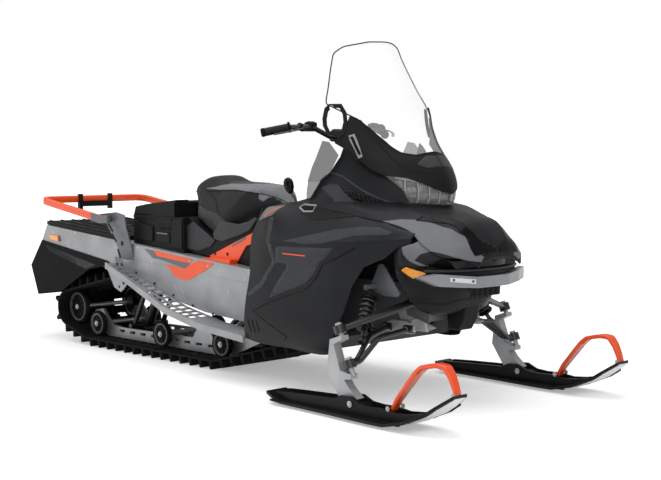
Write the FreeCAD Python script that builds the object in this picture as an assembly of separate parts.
import FreeCAD, Part
import math
import os
from FreeCAD import Rotation, Vector

# Utility snowmobile, two skis in front and one wide track behind.
# X points to the front, Y to the rider's left, Z up. Millimetres.
# The origin is on the snow, at the middle of the vehicle's length and width.

# Clearances and overrun
seat_gap = 0.3
panel_gap = 3.0
shaft_gap = 0.4
wheel_gap = 0.9
overrun = 10.0

# Track and its wheels
track_half_width = 250.0
belt_thickness = 10.0
lug_height = 38.0
lug_count = 54
lug_tip_share = 0.16
lug_root_share = 0.30
road_wheel_radius = 66.0
rear_wheel_radius = 88.0
drive_wheel_radius = 84.0
carrier_wheel_radius = 60.0
wheel_width = 26.0
wheel_rim_width = 9.0
wheel_dish_depth = 7.0
wheel_offset = 176.0
axle_radius = 12.0
rear_wheel_x = -1318.0
rear_wheel_lift = 74.0
first_road_wheel_x = -1135.0
second_road_wheel_x = -575.0
third_road_wheel_x = -105.0
drive_wheel_x = 462.0
drive_wheel_lift = 168.0
carrier_wheel_x = -690.0
carrier_wheel_lift = 246.0

# Skid rails inside the track
rail_offset = 126.0
rail_thickness = 16.0
rail_rear_reach = 115.0
rail_front_reach = 295.0
rail_rear_x = first_road_wheel_x - rail_rear_reach
rail_length = third_road_wheel_x + rail_front_reach - rail_rear_x
rail_height = 150.0
rail_slot_length = 46.0
rail_slot_height = 14.0
rail_slot_rise_share = 0.24
skid_arm_radius = 13.0
rear_arm_foot_x = -930.0
rear_arm_top_x = -800.0
rear_arm_top_z = 350.0
front_arm_foot_x = -240.0
front_arm_top_x = 40.0
front_arm_top_z = 330.0
skid_shock_radius = 26.0

# Tunnel, a sheet channel open below
tunnel_half_width = 275.0
tunnel_wall = 4.0
tunnel_rear_x = -1524.0
tunnel_length = 2164.0
tunnel_base_z = 250.0
tunnel_height = 376.0

# Running boards
board_rear_x = -850.0
board_length = 1250.0
board_base_z = 212.0
board_height = 246.0
board_width = 145.0
board_thickness = 6.0
board_lip_height = 30.0
board_lip_width = 12.0
board_slot_rows = 2
board_slot_count = 15
board_pitch_count = 25
board_slot_share = 0.76
board_slot_width = 44.0
board_slot_rib = 12.0
board_end_length = 200.0
board_end_height = 150.0
board_end_base_z = 320.0
board_end_thickness = 5.0
tie_hole_radius = 9.0

# Rear deck and rack
deck_rear_x = -1490.0
deck_length = 690.0
deck_half_width = 262.0
deck_thickness = 20.0
deck_slot_length = 84.0
deck_slot_width = 22.0
deck_slot_rows = 7
deck_slot_columns = 5
rack_tube_radius = 15.0
rack_rear_x = -1432.0
rack_rear_z = 764.0
rack_front_x = -872.0
rack_front_z = 682.0
rack_half_width = 330.0
rack_corner_radius = 62.0
rack_bracket_thickness = 5.0
rack_bracket_x = -950.0
rack_bracket_length = 290.0
rack_bracket_z = 450.0
rack_bracket_height = 280.0
rack_bracket_foot_z = 510.0
lamp_post_offset = 96.0
lamp_post_width = 22.0
lamp_post_height = 84.0
lamp_post_depth = 10.0
lamp_height = 30.0
lamp_depth = 22.0

# Hitch and snow flap
hitch_length = 186.0
hitch_start_share = 0.06
hitch_half_width = 34.0
hitch_plate = 10.0
hitch_jaw = 30.0
hitch_pin_radius = 8.2
hitch_drop = 52.0
flap_rear_x = -1629.0
flap_length = 770.0
flap_base_z = 244.0
flap_height = 300.0
flap_thickness = 6.0

# Storage bin with its lid
bin_rear_x = -717.0
bin_length = 407.0
bin_base_z = 545.0
bin_height = 160.0
bin_half_width = 240.0
bin_wall = 6.0
lid_length = 332.0
lid_height = 82.0
lid_lip = 34.0
hinge_radius = 9.0
hinge_pin_radius = 4.0
hinge_offset = 150.0
hinge_length = 44.0
hinge_lug = 12.0

# Seat
seat_rear_x = -362.0
seat_length = 600.0
seat_base_z = 600.0
seat_height = 304.0
seat_half_width = 178.0
seat_base_rear_x = -330.0
seat_base_length = 560.0
seat_base_low_z = 480.0
seat_base_height = 215.0
seat_base_half_width = 215.0
seat_plate_rear_x = -141.0
seat_plate_length = 325.0
seat_plate_low_z = 516.0
seat_plate_height = 145.0
seat_plate_thickness = 5.0
seat_plate_offset = 262.0
seat_plate_flange_share = 0.6

# Front bodywork
panel_wall = 8.0
body_half_width = 420.0
panel_rear_x = 330.0
panel_length = 860.0
panel_base_z = 200.0
panel_height = 700.0
hood_rear_x = 560.0
hood_length = 850.0
hood_base_z = 550.0
hood_height = 350.0
frame_front_x = 1165.0
nose_wing_length = 53.0
nose_rear_x = frame_front_x - nose_wing_length
nose_length = 211.0
nose_base_z = 275.0
nose_height = 330.0
lip_thickness = 12.0
lip_base_z = 549.0
keel_box_half_width = 45.0
bumper_pad_offset = 70.0
bumper_pad_width = 40.0
bumper_pad_height = 30.0
belly_rear_x = 650.0
belly_length = 280.0
belly_low_z = 205.0
belly_thickness = 5.0
console_rear_x = seat_rear_x + seat_length + panel_gap / 2
console_base_z = 480.0
console_height = 410.0
console_half_width = 229.0

# Windshield and its base
shield_wall = 4.0
cowl_half_width = 320.0
cowl_rear_x = 640.0
cowl_length = 520.0
cowl_base_z = 780.0
cowl_height = 700.0
lamp_wall = 34.0
hoop_half_length = 52.0
hoop_half_height = 70.0
hoop_wall = 17.0
hoop_thickness = 12.0
hoop_centre_x = 767.0
hoop_centre_y = 290.0
hoop_centre_z = 1142.0
hoop_angle = 38.0
hoop_lean = 8.0
fairing_wall = 5.0
deflector_wall = 4.0
deflector_offset = 262.0
deflector_boss_radius = 6.0
deflector_boss_reach = 36.0

# Bumper
bumper_tube_height = 44.0
bumper_depth = 30.0
bumper_half_width = 330.0
bumper_end_x = 1262.0
bumper_reach = 112.0
bumper_mid_z = 508.0

# Front frame, engine and suspension
frame_plate = 8.0
frame_offset = 150.0
frame_low_z = 285.0
frame_top_z = 486.0
frame_taper_x = 1060.0
frame_nose_z = 340.0
tower_rear_x = 958.0
tower_length = 151.0
tower_low_z = 440.0
tower_height = 128.0
tower_offset = 262.0
shock_top_x = 975.0
shock_top_z = 476.0
shock_top_y = 292.0
shock_foot_share = 0.22
shock_eye_radius = 14.0
shock_radius = 20.0
spring_radius = 33.0
spring_coils = 6
spring_foot_share = 0.3
spring_length_share = 0.6
engine_rear_x = 745.0
engine_length = 185.0
engine_base_z = 290.0
engine_height = 345.0

# Steering of the skis
ski_offset = 521.0
kingpin_offset = 514.0
kingpin_foot_x = 1124.0
kingpin_foot_z = 92.0
kingpin_top_x = 1022.0
kingpin_top_z = 330.0
kingpin_radius = 10.0
arm_eye_radius = 24.0
arm_eye_height = 32.0
arm_tube_radius = 11.0
arm_bend_radius = 60.0
upper_eye_share = 1.0
lower_eye_share = 0.462
upper_pin_share = 0.87
lower_pin_share = 0.27
upper_arm_inner_z = 424.0
lower_arm_inner_z = 304.0
lower_arm_rear_x = 960.0
lower_arm_front_x = 1074.0
upper_arm_rear_x = 1100.0
upper_arm_front_x = 1150.0
arm_pivot_length = 44.0
arm_pivot_radius = 17.0
kingpin_cap_radius = 13.0
kingpin_cap_height = 10.0
spindle_width = 40.0
spindle_rear_x = 970.0
spindle_length = 164.0
spindle_low_z = 66.0
spindle_height = 246.0
ski_rear_x = 658.0
ski_length = 971.0
ski_height = 160.0
ski_half_width = 94.0
ski_thickness = 12.0
ski_rib_width = 12.0
keel_width = 16.0
keel_height = 12.0
loop_width = 26.0
loop_bolt_radius = 6.0
saddle_length = 200.0
saddle_height = 44.0
saddle_width = 56.0

# Handlebar
post_foot_x = 702.0
post_foot_z = 735.0
post_sleeve_length = 52.0
post_sleeve_wall = 9.0
post_top_x = 552.0
post_top_z = 1060.0
post_radius = 16.0
post_hole_half_width = 64.0
post_hole_reach = 96.0
bar_tube_radius = 11.0
grip_radius = 17.0
bar_bend_radius = 60.0
bar_low_y = 110.0
bar_low_z = 1082.0
bar_bend_x = 535.0
bar_bend_y = 200.0
bar_bend_z = 1123.0
grip_inner_x = 483.0
grip_inner_y = 280.0
grip_inner_z = 1122.0
grip_end_x = 416.0
grip_end_y = 384.0
grip_end_z = 1097.0

# Outlines in shares of the sizes above
tunnel_side_share = [
    (0, 0.763), (0.025, 1), (1, 0.559), (1, 0), (0.773, 0.021), (0.653, 0.066),
    (0.455, 0.253), (0.29, 0.556),
]
rail_side_share = [
    (0, 0.60), (0.02, 0.86), (0.065, 0.93), (0.12, 0.42), (0.20, 0.36), (0.60, 0.42),
    (0.635, 0.86), (0.68, 0.86), (0.72, 0.42), (0.82, 0.46), (0.97, 1), (1, 0.96),
    (0.98, 0.72), (0.795, 0), (0.10, 0), (0.03, 0.30),
]
board_line_share = [
    (0, 1), (0.183, 0.772), (0.483, 0.321), (0.702, 0.126), (1, 0),
]
board_edge_share = [
    (0, 0.345), (0.183, 0.586), (0.483, 0.931), (0.702, 1), (1, 1),
]
board_end_share = [
    (0, 0.947), (0.4, 0.167), (0.68, 0.033), (0.94, 0.3), (0.8, 0.7),
]
tie_hole_share = [(0.62, 0.2), (0.8, 0.34)]
console_front_share = [
    (-1, 0), (-1, 0.62), (-0.55, 0.78), (-0.3, 0.9), (0.3, 0.9), (0.55, 0.78), (1, 0.62), (1, 0),
]
rack_bracket_share = [
    (0.034, 0.914), (0.052, 0.764), (0.317, 0.779), (0.517, 0.393), (0.672, 0), (0.972, 0),
    (0.945, 0.393), (0.89, 0.679), (0.897, 0.936), (0.655, 0.979),
]
flap_side_share = [
    (0.148, 0.997), (0, 0.523), (0.09, 0), (0.375, 0.103), (0.738, 0.567), (0.999, 0.683),
    (0.947, 0.74),
]
lid_side_share = [
    (0, 0), (0.051, 0.524), (0.232, 0.646), (0.955, 0.963), (1, 0.854), (1, 0),
]
seat_side_share = [
    (0.11, 0.336), (0, 0.77), (0.037, 0.934), (0.1, 1), (0.187, 0.974), (0.303, 0.882),
    (0.523, 0.862), (0.817, 0.796), (0.875, 0.707), (0.935, 0.599), (0.99, 0.543), (1, 0.467),
    (0.92, 0.355), (0.757, 0.296), (0.653, 0.237), (0.537, 0.132), (0.438, 0.02), (0.27, 0.132),
]
seat_front_share = [
    (-1, -0.1), (-1, 0.42), (-0.86, 0.62), (-0.74, 0.86), (-0.5, 0.98), (-0.2, 1.02),
    (0.2, 1.02), (0.5, 0.98), (0.74, 0.86), (0.86, 0.62), (1, 0.42), (1, -0.1),
]
seat_plan_share = [
    (-0.108, 0.62), (0.033, 0.84), (0.13, 1), (0.52, 1), (0.637, 0.86), (0.737, 0.64), (0.82, 0.44),
    (0.903, 0.26), (1.037, 0.14),
]
seat_base_share = [
    (0.009, 0.307), (0.009, 1.03), (0.045, 1.06), (0.223, 0.79), (0.412, 0.65), (0.527, 0.8),
    (0.646, 0.93), (0.768, 1.04), (0.929, 1.11), (0.989, 1.144), (0.989, 0.056),
]
seat_plate_share = [
    (0, 0.117), (1, 0.993), (1, 0.662), (0.803, 0.524), (0.625, 0.028), (0.018, 0.076),
]
console_side_share = [
    (0, 0), (0, 0.639), (0.042, 0.693), (0.273, 0.751), (0.53, 0.81), (0.839, 0.859), (1, 0.873),
    (1, 0),
]
panel_edge_share = [
    (0.066, 0.843), (-0.009, 0.626), (0.016, 0.43), (0, 0.276), (-0.006, 0.02), (0.006, -0.05),
    (0.626, -0.05), (0.626, 0.046), (0.692, 0.257), (0.721, 0.4), (0.779, 0.514), (0.881, 0.569),
    (0.93, 0.629), (0.998, 0.66), (1.029, 0.7), (1.029, 0.9), (0.314, 0.93),
]
panel_sections_share = [
    (0, [(0.595, 0.814), (0.757, 0.829), (0.876, 0.643), (0.933, 0.363), (0.976, 0.071), (0.962, 0.02)]),
    (0.081, [(0.6, 0.846), (0.786, 0.817), (0.919, 0.643), (0.952, 0.363), (0.993, 0.057),
             (0.976, 0.007)]),
    (0.314, [(0.624, 0.857), (0.774, 0.76), (0.933, 0.643), (0.957, 0.363), (1, 0.04), (0.964, 0)]),
    (0.628, [(0.655, 0.826), (0.767, 0.766), (0.914, 0.65), (0.933, 0.363), (0.971, 0.043),
             (0.929, 0.007)]),
    (0.849, [(0.695, 0.766), (0.743, 0.746), (0.829, 0.663), (0.833, 0.514), (0.848, 0.286),
             (0.829, 0.186)]),
    (0.988, [(0.586, 0.714), (0.624, 0.706), (0.671, 0.686), (0.676, 0.643), (0.676, 0.514),
             (0.667, 0.429)]),
]
panel_rear_wall_share = [
    (0.68, 0.03), (0.955, 0.03), (0.968, 0.075), (0.925, 0.363), (0.868, 0.64), (0.75, 0.82),
    (0.55, 0.80), (0.55, 0.62), (0.68, 0.44),
]
hood_sections_share = [
    (0.011, [(0, 0.823), (0.262, 0.82), (0.452, 0.794), (0.571, 0.749), (0.624, 0.686)]),
    (0.282, [(0, 0.834), (0.31, 0.826), (0.512, 0.789), (0.638, 0.714), (0.695, 0.634)]),
    (0.494, [(0, 0.777), (0.31, 0.769), (0.529, 0.709), (0.676, 0.623), (0.714, 0.566)]),
    (0.588, [(0, 0.731), (0.286, 0.72), (0.467, 0.691), (0.61, 0.611), (0.695, 0.537)]),
    (0.706, [(0, 0.674), (0.257, 0.654), (0.405, 0.611), (0.51, 0.549), (0.624, 0.434)]),
    (0.788, [(0, 0.623), (0.267, 0.591), (0.35, 0.546), (0.488, 0.429), (0.633, 0.286)]),
    (0.871, [(0, 0.546), (0.231, 0.531), (0.348, 0.434), (0.467, 0.306), (0.576, 0.177)]),
    (0.932, [(0, 0.4), (0.19, 0.377), (0.238, 0.354), (0.357, 0.286), (0.457, 0.16)]),
    (0.988, [(0, 0.143), (0.131, 0.137), (0.183, 0.12), (0.262, 0.1), (0.31, 0.063)]),
]
nose_sections_share = [
    (0, [(0, 0.355), (0.214, 0.361), (0.429, 0.373), (0.56, 0.397), (0.638, 0.47), (0.686, 0.652),
         (0.71, 0.803), (0.726, 0.915), (0.714, 1.106), (0.624, 1.288)]),
    (0.251, [(0, 0.264), (0.214, 0.27), (0.357, 0.288), (0.452, 0.348), (0.536, 0.47),
             (0.595, 0.652), (0.69, 0.803), (0.757, 0.915), (0.738, 1.121), (0.624, 1.258)]),
    (0.45, [(0, 0.282), (0.19, 0.288), (0.31, 0.3), (0.393, 0.364), (0.452, 0.47), (0.505, 0.652),
            (0.624, 0.803), (0.707, 0.915), (0.695, 1.082), (0.624, 1.179)]),
    (0.687, [(0, 0.355), (0.095, 0.358), (0.179, 0.373), (0.25, 0.415), (0.321, 0.5), (0.388, 0.652),
             (0.5, 0.803), (0.595, 0.915), (0.624, 1.003), (0.614, 1.07)]),
    (0.867, [(0, 0.524), (0.095, 0.527), (0.167, 0.536), (0.219, 0.555), (0.257, 0.585),
             (0.29, 0.652), (0.41, 0.803), (0.505, 0.9), (0.538, 0.955), (0.562, 1)]),
    (1, [(0, 0.615), (0.083, 0.618), (0.143, 0.624), (0.179, 0.633), (0.202, 0.645), (0.226, 0.664),
         (0.345, 0.803), (0.443, 0.882), (0.476, 0.924), (0.49, 0.973)]),
]
belly_line_share = [(0, 0), (0.6, 0.1), (1, 1)]
belly_edge_share = [(0, 0.93), (1, 0.90)]
cowl_sections_share = [
    (0, [(0.663, 0.594), (0.769, 0.431), (0.856, 0.275), (0.919, 0.131), (0.946, 0)]),
    (0.089, [(0.644, 0.641), (0.785, 0.466), (0.869, 0.331), (0.942, 0.163), (0.977, 0)]),
    (0.136, [(0.577, 0.703), (0.75, 0.5), (0.856, 0.344), (0.933, 0.172), (0.962, 0)]),
    (0.204, [(0.438, 0.819), (0.663, 0.619), (0.798, 0.406), (0.885, 0.194), (0.919, 0)]),
    (0.281, [(0.308, 0.906), (0.577, 0.662), (0.731, 0.406), (0.817, 0.194), (0.85, 0)]),
    (0.34, [(0.265, 0.938), (0.5, 0.681), (0.654, 0.419), (0.75, 0.188), (0.788, 0)]),
    (0.457, [(0.231, 0.944), (0.32, 0.831), (0.454, 0.623), (0.588, 0.321), (0.677, 0)]),
    (0.604, [(0.188, 0.981), (0.26, 0.863), (0.368, 0.648), (0.476, 0.334), (0.548, 0)]),
    (0.717, [(0.14, 0.863), (0.207, 0.759), (0.307, 0.569), (0.407, 0.293), (0.473, 0)]),
    (0.831, [(0.096, 0.75), (0.154, 0.66), (0.24, 0.495), (0.327, 0.255), (0.385, 0)]),
    (0.924, [(0.067, 0.656), (0.117, 0.578), (0.19, 0.433), (0.264, 0.223), (0.313, 0)]),
    (1, [(0.044, 0.581), (0.088, 0.512), (0.153, 0.384), (0.218, 0.198), (0.262, 0)]),
]
shield_split_share = [
    (-0.269, 0.61), (0.202, 0.61), (0.337, 0.546), (0.379, 0.526), (0.498, 0.436), (0.602, 0.363),
    (0.673, 0.329), (0.754, 0.317), (0.798, 0.34), (1.269, 0.34),
]
shield_above_share = [(-0.1, 1.2), (1.2, 1.2)]
pod_foot_share = [
    (0.115, 0.403), (0.246, 0.393), (0.302, 0.366), (0.362, 0.334), (0.413, 0.294), (0.456, 0.281),
    (0.542, 0.23), (0.637, 0.201), (0.769, 0.189), (0.885, 0.143), (0.981, 0.093), (1.269, 0.079),
]
lamp_foot_share = [
    (0.637, 0.197), (0.75, 0.109), (0.779, 0.046), (0.962, 0.029), (1.269, 0.023),
]
fairing_rear_share = [
    (-0.154, 0.014), (-0.125, 0.046), (0, 0.176), (0.1, 0.217), (0.202, 0.307),
]
fairing_sections_share = [
    (0, [(-0.173, 0.819), (0.115, 0.819), (0.423, 0.744), (0.663, 0.525), (0.808, 0.344), (0.846, 0)]),
    (0.171, [(-0.154, 0.766), (0.154, 0.766), (0.438, 0.694), (0.615, 0.537), (0.75, 0.328),
             (0.788, 0)]),
    (0.314, [(-0.154, 0.75), (0.192, 0.75), (0.308, 0.706), (0.423, 0.588), (0.596, 0.344), (0.654, 0)]),
    (0.4, [(-0.154, 0.738), (0.192, 0.738), (0.288, 0.706), (0.385, 0.594), (0.5, 0.344), (0.558, 0)]),
]
deflector_side_share = [
    (-0.135, 0.051), (-0.135, 0.091), (-0.115, 0.17), (-0.069, 0.247), (-0.031, 0.291),
    (0.052, 0.403), (0.123, 0.396), (0.231, 0.317), (0.127, 0.207), (0.029, 0.161), (-0.085, 0.051),
]
deflector_boss_share = [(0.062, 0.189), (-0.096, 0.063)]
shield_top_share = [
    (-1.031, 0.743), (-0.656, 0.924), (-0.537, 0.966), (-0.234, 0.997), (0, 1), (0.234, 0.997),
    (0.537, 0.966), (0.656, 0.924), (1.031, 0.743),
]
lip_width_share = 0.88
nose_trim_share = [
    (0.18, 0.197), (0.171, 0.394), (-0.019, 0.864), (-0.019, 1.47), (1.46, 1.47), (1.46, 0.197),
]
tower_side_share = [
    (0, 0.172), (0, 0.406), (0.258, 1), (0.411, 1), (1, 0.141), (0.94, 0.031), (0.47, 0),
    (0.179, 0.094),
]
keel_box_share = [
    (0.251, 0.082), (0.521, 0.07), (0.654, 0.212), (0.711, 0.379), (0.251, 0.379),
]
bumper_plan_share = [(0, 1), (0.42, 0.82), (0.74, 0.58), (0.93, 0.3), (1, 0)]
bumper_face_share = [
    (0.3, 0), (0.8, 0.295), (1, 1.091), (0.8, 1.386), (0.3, 1),
]
ski_side_share = [
    (0, 0.24), (0.10, 0.075), (0.25, 0.075), (0.70, 0.075), (0.80, 0.21), (0.90, 0.50),
    (1, 0.92),
]
ski_plan_share = [
    (0, 0.56), (0.05, 0.70), (0.40, 0.86), (0.62, 1), (0.82, 0.96), (0.93, 0.72), (1, 0.42),
]
spindle_side_share = [
    (0.091, 0.911), (0.463, 0.996), (0.488, 0.927), (0.22, 0.841), (0.439, 0.443), (0.78, 0.407),
    (0.793, 0.333), (0.573, 0.309), (0.707, 0.203), (1, 0.041), (0.915, 0), (0.427, 0), (0, 0.402),
]
lower_arm_route_share = [(0.16, 0.04), (0.47, 0.82)]
hoop_ring_share = [
    (-1, 0.15), (-0.85, 0.75), (-0.5, 1), (0.5, 1), (0.9, 0.5), (1, -0.1), (0.8, -0.75), (0.4, -1),
    (-0.6, -0.8), (-0.95, -0.3),
]
base_rear_share = [
    (-0.077, 0.743), (0.342, 0.743), (0.331, 0.547), (0.3, 0.436), (0.254, 0.39), (0.192, 0.314),
    (-0.077, 0.314),
]
ski_wall_share = [
    (0.043, 0.338), (0.146, 0.375), (0.28, 0.412), (0.388, 0.438), (0.424, 0.537), (0.481, 0.55),
    (0.529, 0.425), (0.589, 0.4), (0.653, 0.412), (0.731, 0.362), (0.795, 0.4), (0.857, 0.475),
]
loop_outer_share = [
    (0.661, 0.362), (0.683, 0.537), (0.724, 0.769), (0.768, 1.031), (0.797, 1.238), (0.828, 1.425),
    (0.867, 1.556), (0.908, 1.637), (0.941, 1.65), (0.968, 1.587), (0.985, 1.45), (0.993, 1.25),
    (0.998, 1.025),
]
loop_inner_share = [
    (0.692, 0.362), (0.703, 0.487), (0.74, 0.7), (0.781, 0.944), (0.809, 1.15), (0.84, 1.325),
    (0.875, 1.456), (0.912, 1.538), (0.935, 1.55), (0.954, 1.506), (0.967, 1.387), (0.975, 1.219),
    (0.98, 1),
]
saddle_side_share = [(-0.5, 0), (0.5, 0), (0.2, 1), (-0.4, 1)]
loop_mount_share = [(0.682, 0.44), (0.99, 0.99)]


def lay(shares, start_x, length, start_z, height):
    """Points in the side view from shares of a piece's length and height."""
    return [(start_x + along * length, start_z + up * height) for along, up in shares]


def side_prism(points, low_y, high_y):
    """Outline of the side view, carried across the vehicle."""
    ring = [Vector(x, low_y, z) for x, z in points]
    face = Part.Face(Part.makePolygon(ring + ring[:1]))
    return face.extrude(Vector(0, high_y - low_y, 0))


def plan_prism(points, low_z, high_z):
    """Outline seen from above, carried upward."""
    ring = [Vector(x, y, low_z) for x, y in points]
    face = Part.Face(Part.makePolygon(ring + ring[:1]))
    return face.extrude(Vector(0, 0, high_z - low_z))


def front_prism(points, low_x, high_x):
    """Outline of the front view, carried along the vehicle."""
    ring = [Vector(low_x, y, z) for y, z in points]
    face = Part.Face(Part.makePolygon(ring + ring[:1]))
    return face.extrude(Vector(high_x - low_x, 0, 0))


def box(low, high):
    size = [high[i] - low[i] for i in range(3)]
    return Part.makeBox(size[0], size[1], size[2], Vector(low[0], low[1], low[2]))


def rod(start, end, radius):
    """Round bar between two points."""
    a = Vector(*start)
    b = Vector(*end)
    return Part.makeCylinder(radius, (b - a).Length, a, b - a)


def corner_arc(before, corner, after, bend):
    """Arc of the bend radius that rounds a corner, as entry, middle and exit points."""
    back = before - corner
    back.normalize()
    ahead = after - corner
    ahead.normalize()
    turn = math.pi - back.getAngle(ahead)
    reach = bend * math.tan(turn / 2)
    middle = back + ahead
    middle.normalize()
    depth = bend / math.cos(turn / 2) - bend
    return corner + back * reach, corner + middle * depth, corner + ahead * reach


def bent_tube(points, radius, bend, closed=False):
    """Round tube along a route with its corners rounded; a closed one is a ring."""
    corners = [Vector(*point) for point in points]
    count = len(corners)
    edges = []
    for index, corner in enumerate(corners):
        following = corners[(index + 1) % count]
        open_end = not closed and index in (0, count - 1)
        leave = corner
        if not open_end:
            entry, middle, leave = corner_arc(corners[index - 1], corner, following, bend)
            edges.append(Part.Arc(entry, middle, leave).toShape())
        if not closed and index == count - 1:
            continue
        arrive = following
        if closed or index < count - 2:
            after = corners[(index + 2) % count]
            arrive = corner_arc(corner, following, after, bend)[0]
        edges.append(Part.LineSegment(leave, arrive).toShape())
    first = edges[0]
    heading = first.tangentAt(first.FirstParameter)
    ring = Part.makeCircle(radius, first.valueAt(first.FirstParameter), heading)
    return Part.Wire(edges).makePipeShell([Part.Wire(ring)], True, False)


def join(shapes):
    """One solid from shapes that meet."""
    whole = shapes[0]
    for shape in shapes[1:]:
        whole = whole.fuse(shape)
    return whole.removeSplitter()


def cut_all(shape, cutters):
    for cutter in cutters:
        shape = shape.cut(cutter)
    return shape


def mirrored(shape):
    return shape.mirror(Vector(0, 0, 0), Vector(0, 1, 0))


def both_sides(shape):
    return [shape, mirrored(shape)]


def inset(points, wall):
    """Open line moved to its right-hand side by the wall, corners mitred."""
    moved = []
    for index, point in enumerate(points):
        before = points[max(index - 1, 0)]
        after = points[min(index + 1, len(points) - 1)]
        normals = []
        for a, b in ((before, point), (point, after)):
            run = math.hypot(b[0] - a[0], b[1] - a[1])
            if run > 0:
                normals.append(((b[1] - a[1]) / run, -(b[0] - a[0]) / run))
        nx = sum(n[0] for n in normals) / len(normals)
        nz = sum(n[1] for n in normals) / len(normals)
        grow = wall / (nx * nx + nz * nz)
        moved.append((point[0] + nx * grow, point[1] + nz * grow))
    return moved


def shell_loft(sections, wall, place):
    """Thin skin through open section lines; place turns (station, a, b) into a point."""
    wires = []
    for station, line in sections:
        ring = line + inset(line, wall)[::-1]
        corners = [place(station, a, b) for a, b in ring]
        wires.append(Part.makePolygon(corners + corners[:1]))
    return Part.makeLoft(wires, True, True)


def save(name, shapes):
    """Write one node: a single solid, or several that stand apart."""
    shape = shapes[0] if len(shapes) == 1 else Part.makeCompound(shapes)
    shape.exportStep(os.path.join("parts", name + ".step"))


# Track

def wheel_centres():
    """Wheel places (x, z) and radii, in the order the belt meets them."""
    ground = lug_height + belt_thickness
    road_z = ground + road_wheel_radius
    return [
        (first_road_wheel_x, road_z, road_wheel_radius),
        (third_road_wheel_x, road_z, road_wheel_radius),
        (drive_wheel_x, road_z + drive_wheel_lift, drive_wheel_radius),
        (carrier_wheel_x, road_z + carrier_wheel_lift, carrier_wheel_radius),
        (rear_wheel_x, road_z + rear_wheel_lift, rear_wheel_radius),
    ]


def belt_run():
    """Straight runs and arcs of the belt's inner face, going round under the wheels."""
    wheels = wheel_centres()
    tangents = []
    for index, (x0, z0, r0) in enumerate(wheels):
        x1, z1, r1 = wheels[(index + 1) % len(wheels)]
        span = math.hypot(x1 - x0, z1 - z0)
        heading = math.atan2(z1 - z0, x1 - x0)
        lean = math.asin((r0 - r1) / span)
        tangents.append(heading - math.pi / 2 + lean)
    pieces = []
    for index, (x, z, radius) in enumerate(wheels):
        start = tangents[index - 1]
        sweep = (tangents[index] - start) % (2 * math.pi)
        pieces.append(("arc", x, z, radius, start, sweep))
        x1, z1, r1 = wheels[(index + 1) % len(wheels)]
        angle = tangents[index]
        a = (x + radius * math.cos(angle), z + radius * math.sin(angle))
        b = (x1 + r1 * math.cos(angle), z1 + r1 * math.sin(angle))
        pieces.append(("run", a, b, angle))
    return pieces


def piece_length(piece):
    if piece[0] == "arc":
        return piece[3] * piece[5]
    return math.hypot(piece[2][0] - piece[1][0], piece[2][1] - piece[1][1])


def belt_point(pieces, along, rise):
    """Point of the belt line at a distance along it, raised outward."""
    for piece in pieces:
        length = piece_length(piece)
        if along <= length:
            break
        along -= length
    if piece[0] == "arc":
        angle = piece[4] + along / piece[3]
        reach = piece[3] + rise
        return (piece[1] + reach * math.cos(angle), piece[2] + reach * math.sin(angle))
    share = along / length
    x = piece[1][0] + share * (piece[2][0] - piece[1][0]) + rise * math.cos(piece[3])
    z = piece[1][1] + share * (piece[2][1] - piece[1][1]) + rise * math.sin(piece[3])
    return (x, z)


def track():
    pieces = belt_run()
    total = sum(piece_length(piece) for piece in pieces)
    pitch = total / lug_count
    outer = []
    inner = []
    for index in range(lug_count):
        foot = index * pitch
        root = lug_root_share * pitch
        tip = lug_tip_share * pitch
        inset_share = (root - tip) / 2
        outer.append(belt_point(pieces, foot, belt_thickness))
        outer.append(belt_point(pieces, foot + inset_share, belt_thickness + lug_height))
        outer.append(belt_point(pieces, foot + inset_share + tip, belt_thickness + lug_height))
        outer.append(belt_point(pieces, foot + root, belt_thickness))
        outer.append(belt_point(pieces, foot + (root + pitch) / 2, belt_thickness))
        for quarter in range(4):
            inner.append(belt_point(pieces, foot + quarter * pitch / 4, 0))
    belt = side_prism(outer, -track_half_width, track_half_width)
    hollow = side_prism(inner, -track_half_width - overrun, track_half_width + overrun)
    return [belt.cut(hollow)]


def wheel(x, z, radius, middle_y):
    """Wheel with a dished outer face round its hub."""
    side = math.copysign(1, middle_y)
    inner_y = middle_y - side * wheel_width / 2
    out = Vector(0, side, 0)
    rim = Part.makeCylinder(radius, wheel_width, Vector(x, inner_y, z), out)
    dish_y = inner_y + side * (wheel_width - wheel_dish_depth)
    ring = Part.makeCylinder(radius - wheel_rim_width, wheel_dish_depth, Vector(x, dish_y, z), out)
    hub = Part.makeCylinder(2 * axle_radius, wheel_dish_depth, Vector(x, dish_y, z), out)
    return rim.cut(ring.cut(hub))


def road_wheels():
    """Rear wheels and road wheels, each pair on one axle through the rails."""
    first, third, drive, carrier, rear = wheel_centres()
    second = (second_road_wheel_x, first[1], road_wheel_radius)
    spots = [first, second, third, rear]
    sets = []
    half_axle = wheel_offset + wheel_width / 2 + overrun
    for x, z, radius in spots:
        clear = radius - wheel_gap
        pair = [wheel(x, z, clear, side * wheel_offset) for side in (-1, 1)]
        axle = rod((x, -half_axle, z), (x, half_axle, z), axle_radius)
        sets.append(join([axle] + pair))
    return sets


def upper_wheels():
    """Drive axle with its sprockets, and the carrier wheels under the tunnel top."""
    first, third, drive, carrier, rear = wheel_centres()
    sets = []
    for x, z, radius in (drive, carrier):
        clear = radius - wheel_gap
        half_axle = tunnel_half_width - tunnel_wall - seat_gap
        pair = [wheel(x, z, clear, side * (wheel_offset - wheel_width * 2)) for side in (-1, 1)]
        axle = rod((x, -half_axle, z), (x, half_axle, z), axle_radius)
        sets.append(join([axle] + pair))
    return sets


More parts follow.
